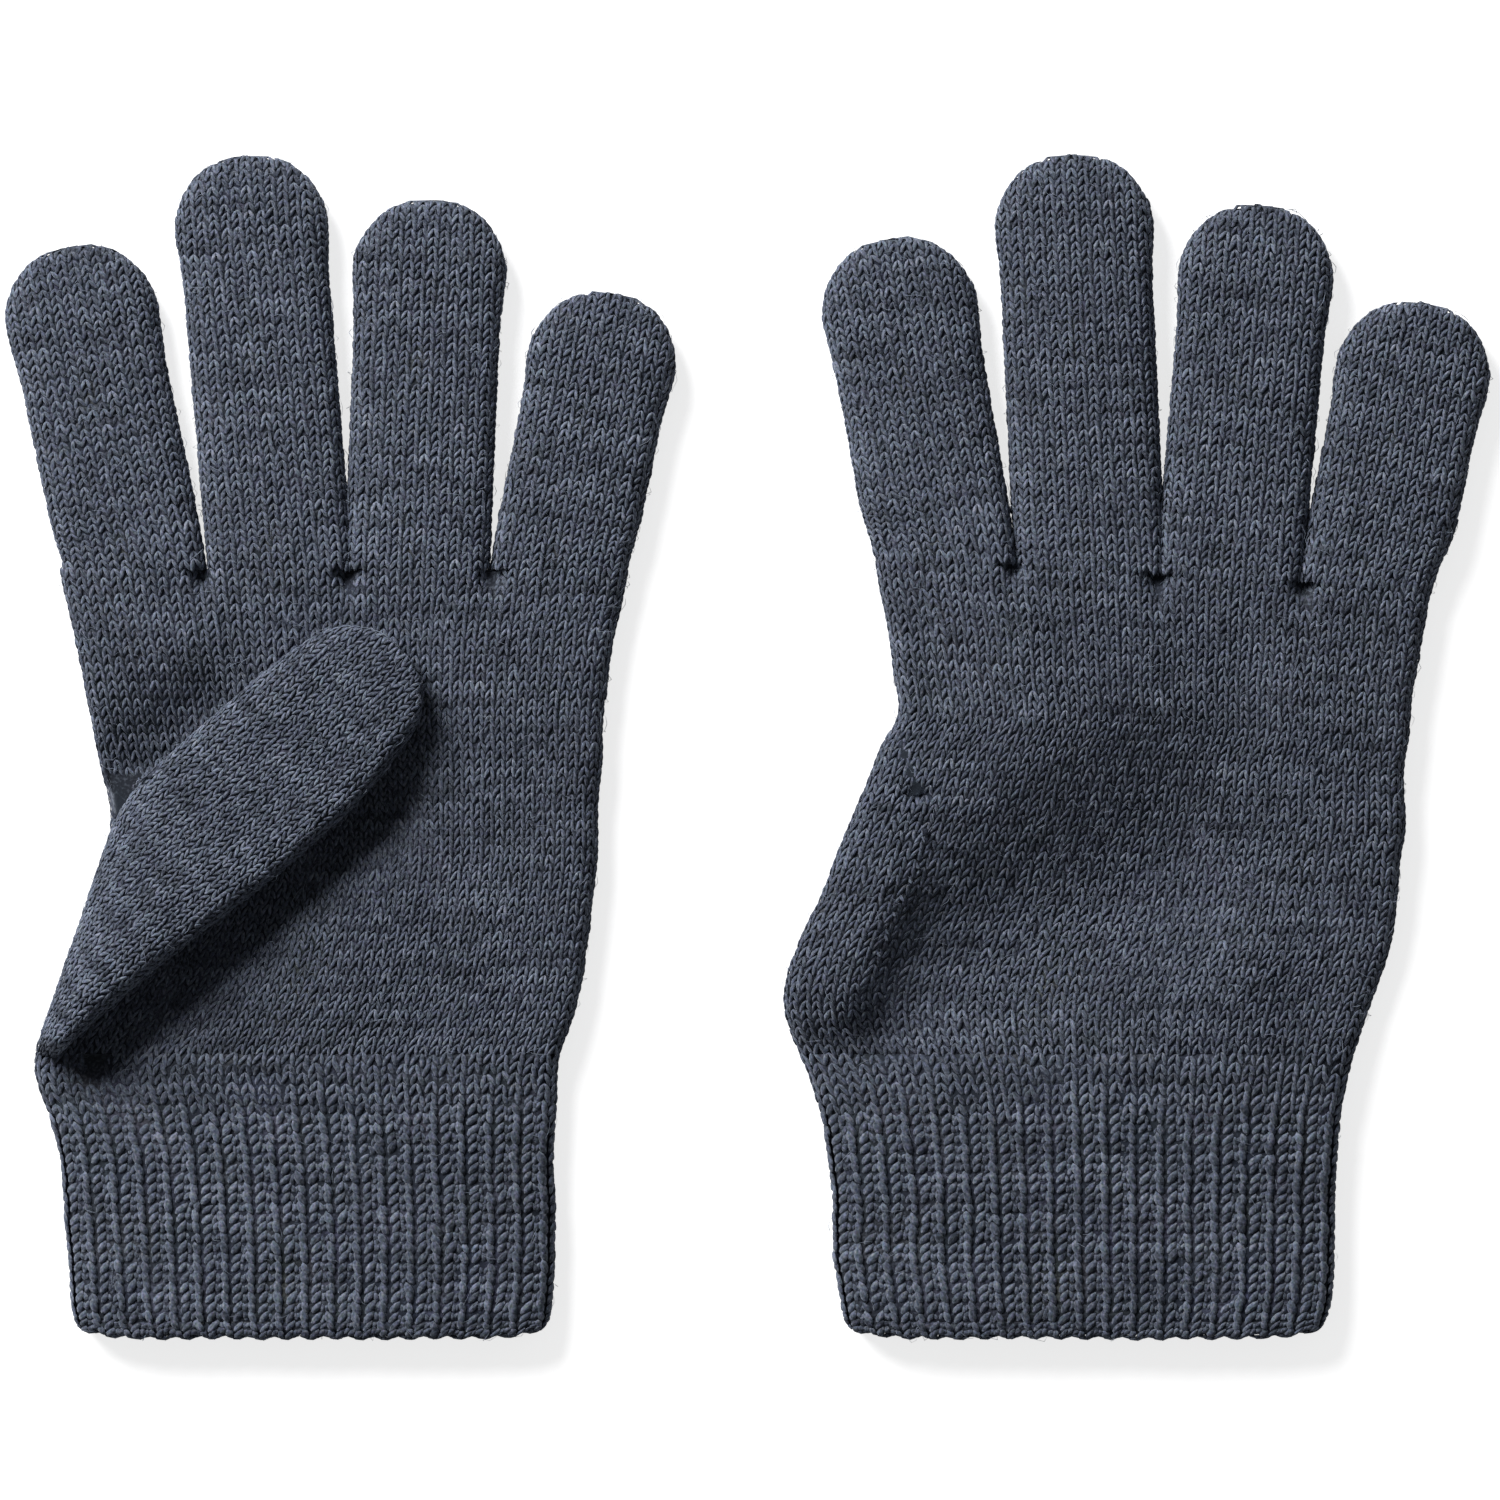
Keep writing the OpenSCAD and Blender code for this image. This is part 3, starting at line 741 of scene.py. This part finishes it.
for side in sides:
    form = hand_form(side)
    courses = round((hand_high - hand_low) / hand_course)
    up_part, down_part = ("palm", "back") if side == "left" else ("back", "palm")
    for flag, part in ((1, up_part), (-1, down_part)):
        # The hands' yarn is painted a little darker than the fingers', as painted shade.
        piece = knitted(
            f"{side}_{part}_knit", form, (flag,), hand_wales, hand_width, 0, courses,
            (hand_high - hand_low) / courses, plain_wool,
            seed=11 + 2 * sides.index(side) + flag, painted_shade=-0.05)
        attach(piece, f"{side}_hand")
        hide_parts(f"{side}_{part}")

# Thumbs: a plain tube with a round tip, folded over the palm. Its outer sheet turns round the fold and
# down the hand's edge. The right one is the same, upside down under its hand.
thumb_side, thumb_rest, thumb_tip, fold_round = 3.2, 9.7, 34.0, 8.5
thumb_wales, thumb_course, thumb_start, round_start = 18, 1.52, -100.0, 20.3
# The fold line: its direction inwards along and across the thumb, its depth and its upper end, in mm
fold_along, fold_across, fold_depth, fold_top = 0.505, 0.863, {"left": 25.9, "right": 23.6}, 53.4
# Distance along the thumb from its middle, upper left edge and lower right edge, in mm
thumb_outline = np.array([
    (-100, -14.2, 17.3), (-70, -14.2, 17.0), (-57, -14.2, 16.6), (-39, -14.2, 17.0), (-23, -14.2, 18.1),
    (-8, -14.3, 18.7), (6, -14.3, 18.4), (16, -13.9, 17.1), (22, -13.2, 15.6), (36, -12.2, 14.8)])
thumb_narrow = np.array([(-67, 13.7), (-46, 14.8), (-23, 10.3), (-8, 7.8), (22, 6.0), (36, 5.8)])


def thumb_at(side, s):
    """Middle, half width and side radius of the thumb along it: the right one is pressed narrower"""
    low, high = (np.interp(s, thumb_outline[:, 0], thumb_outline[:, k]) for k in (1, 2))
    if side == "right":
        high = high - np.interp(s, thumb_narrow[:, 0], thumb_narrow[:, 1])
    t = np.clip((s - round_start) / (thumb_tip - round_start), 0, 0.9999)
    half = ((high - low) / 2 - stitch_rise) * (1 - t ** 2.25) ** (1 / 2.25)
    return (low + high) / 2, half, np.minimum(thumb_side * (1 - t ** 2) ** 0.25, half)


thumb_half, thumb_bend = 16.0, 0.014
thumb_width = 2 * quarter(thumb_half, thumb_side)


def thumb_place(side, sheet, c, s):
    """Place across the thumb, height on its flat tube and distance in from the fold"""
    middle, half, side_r = thumb_at(side, s)
    across, up = flat_tube(c, half, side_r)
    q = middle + across * sheet * (1 if side == "left" else -1)
    crown = 0.9 * (1 - np.abs((q - middle) / half) ** 6) * np.maximum(up, 0) / thumb_side
    thick = thumb_side + np.where(sheet > 0, up + crown, -up)
    if side == "left":
        base = 0.35 * ease((-12 - s) / 28) * ease((q + 8) / 18)
        z = thumb_rest + thick * (0.52 + 0.016 * np.clip(q + 14, 0, 32) + base)
    else:
        pressed, top, full = 0.5, 17, 7.3
        z = top - pressed * (full - thick)
    return q, z, fold_depth[side] + fold_along * s + fold_across * q


def thumb_form(side):
    """A thumb's form, with s along it, and which of its stitches are kept: those short of the wrap's end"""
    origin = laid(side, *thumb_middle)
    a = thumb_turn + lean[side]
    along = np.array([math.cos(a), math.sin(a)])
    across = np.array([math.sin(a), -math.cos(a)])
    outward = -fold_along * along - fold_across * across
    fold, up_fold = origin - fold_top * along, np.array([outward[1], -outward[0]])
    last_turn, last_up, hand_z = (2.2, -26.5, 2.2) if side == "left" else (1.9, -14, 10.0)
    lowest, pair_height = 1.2, 18

    def form(sheet, c, s):
        s = np.minimum(s, thumb_tip)
        q, z, inside = thumb_place(side, sheet, c, s)
        turn = np.where(sheet > 0, np.clip((fold_round - inside) / fold_round, 0, 2.6), 0)
        tuck = 3 * ease((turn - 1.5) / 0.7)
        out = np.where(turn > 0, inside - fold_round + fold_round * np.sin(turn), 0) - tuck
        z = z - fold_round * (1 - np.cos(turn))
        place = origin + s[:, None] * along + q[:, None] * across + out[:, None] * outward
        z = hand_z + (z - hand_z) * ease(((place - fold) @ up_fold - last_up) / 6)
        return np.column_stack([place, np.maximum(z, lowest) if side == "left" else pair_height - z])

    def kept(sheet, c, s):
        inside = thumb_place(side, sheet, c, s)[2]
        low = (form(sheet, c, s)[:, :2] - fold) @ up_fold < last_up
        return np.where(sheet > 0, inside > fold_round * (1 - last_turn), inside > 3) & ~low

    return form, kept


for side in sides:
    form, kept = thumb_form(side)
    thumb_length = thumb_tip - 0.2 - thumb_start
    courses = round(thumb_length / thumb_course)
    piece = knitted(
        f"{side}_thumb_knit", form, (1, -1), thumb_wales, thumb_width, thumb_start, courses,
        thumb_length / courses, plain_wool, seed=61 + sides.index(side),
        reach=lambda s: quarter(*thumb_at(side, s)[1:]), ends=kept)
    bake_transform(piece)
    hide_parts(f"{side}_thumb", f"{side}_thumb_fold")

# Fingers: plain tubes closed with a round tip, each in two pieces that meet below its middle. The wales
# run straight up, so that they end one after another along the tip's edge. The roots and bends are soft.
digits = ("index", "middle", "ring", "little")
lay = {"left": (11, 4, -2, -10.5), "right": (13, 5.5, -1.5, -7)}
digit_length = {"left": (66.1, 83.4, 74.4, 56.5), "right": (65.4, 83.3, 75.1, 57.9)}
digit_half = {"left": (14.5, 14.4, 14.45, 13.9), "right": (14.7, 15.0, 14.6, 14.5)}
# How far a finger's root lies over to the outer side, and how far its outer edge is drawn in there, in mm
digit_sway = {"left": (1.0, 1.2, -0.5, -0.9), "right": (0.6, 0.9, -0.3, -1.0)}
root_tuck = {"left": (0.4, 0, 0, -0.5), "right": (0.9, 0, 0, -2.0)}
bend_at, bend_reach, root_reach = (37.0, 46.0, 41.0, 31.0), 6, 14
finger_course, finger_wales, tip_gap = 1.62, 16, 0.5


def finger_at(side, i, d):
    """Middle, half width and side radius of a finger along it: a little fuller near its round tip"""
    length, half = digit_length[side][i], digit_half[side][i]
    t = np.clip((d - (length - tip_gap - half)) / half, 0, 0.9999)
    tuck = root_tuck[side][i] / 2 * ease(1 - d / 16)
    fuller = 0.75 * np.exp(-((d - length + 15) / 6.5) ** 2)
    half = (half + fuller - abs(tuck)) * (1 - t ** 2.2) ** (1 / 2.2)
    middle = digit_sway[side][i] * (1 - d / length) + tuck
    return middle, half, np.minimum(tube_side * (1 - t ** 2) ** 0.25, half)


def finger_root(side, i):
    """Where a finger starts at the knuckles, and which way it lies"""
    return laid(side, (i - 1.5) * knuckle_pitch, knuckle_y), math.radians(lay[side][i]) + lean[side]


def finger_form(side, i):
    """A finger's form: d runs from the knuckles to the tip, and its crown grows out of the hand's"""
    root, turn = finger_root(side, i)
    hand_middle, hand_half = edges(side, hand_high)

    def form(sheet, c, d):
        d = np.minimum(d, digit_length[side][i] - tip_gap)
        middle, half, side_r = finger_at(side, i, d)
        q, up = flat_tube(c, half, side_r)
        crown = 1.3 * (1 - np.abs(q / half) ** 3)
        q = middle + q * sheet
        a = lean[side] + (turn - lean[side]) * ease(d / root_reach)
        x = root[0] - d * math.sin(turn) + q * np.cos(a)
        y = root[1] + d * math.cos(turn) + q * np.sin(a)
        hand_crown = tube_crown * (1 - np.clip(np.abs((x - hand_middle) / hand_half), 0, 1) ** 6)
        crown = hand_crown + (crown - hand_crown) * ease(d / 12)
        z = tube_middle + np.where(sheet > 0, up + crown * np.maximum(up, 0) / tube_side, -up)
        return np.stack([x, y, z + lifted(side, sheet, x, y, up / tube_side)], axis=1)

    return form


for side in sides:
    for i, digit in enumerate(digits):
        form = finger_form(side, i)
        length = digit_length[side][i]
        courses = round((length - 0.3) / finger_course)
        course = (length - 0.3) / courses
        split = round((bend_at[i] - bend_reach) / course)
        root, turn = finger_root(side, i)
        hand_middle, hand_half = edges(side, hand_high)
        wale = 2 * quarter(hand_half, tube_side) / hand_wales
        off = (root[0] + finger_at(side, i, np.zeros(1))[0][0] - hand_middle) / wale

        def place(d):
            return (0.001 * (root[0] - d * math.sin(turn)), 0.001 * (root[1] + d * math.cos(turn)), joint_z)

        for part, first, last in (("lower", 0, split), ("upper", split, courses)):
            piece = knitted(
                f"{side}_{digit}_{part}_knit", form, (1, -1), finger_wales, finger_wales * wale,
                first * course, last - first, course, plain_wool,
                seed=100 + 20 * sides.index(side) + 4 * i + first,
                reach=lambda d: quarter(*finger_at(side, i, d)[1:]), shift=(round(off) - off) * wale)
            if part == "lower":
                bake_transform(piece)
                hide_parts(f"{side}_{digit}_root", f"{side}_{digit}_lower")
            else:
                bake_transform(piece)
                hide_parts(f"{side}_{digit}_bend", f"{side}_{digit}_upper")

# End: the patterns that were copied are taken away.
for pattern in (plain_stitch, plain_pair, rib_stitch, hem_stitch, stray_fibre):
    bpy.data.objects.remove(pattern)
bpy.context.view_layer.update()
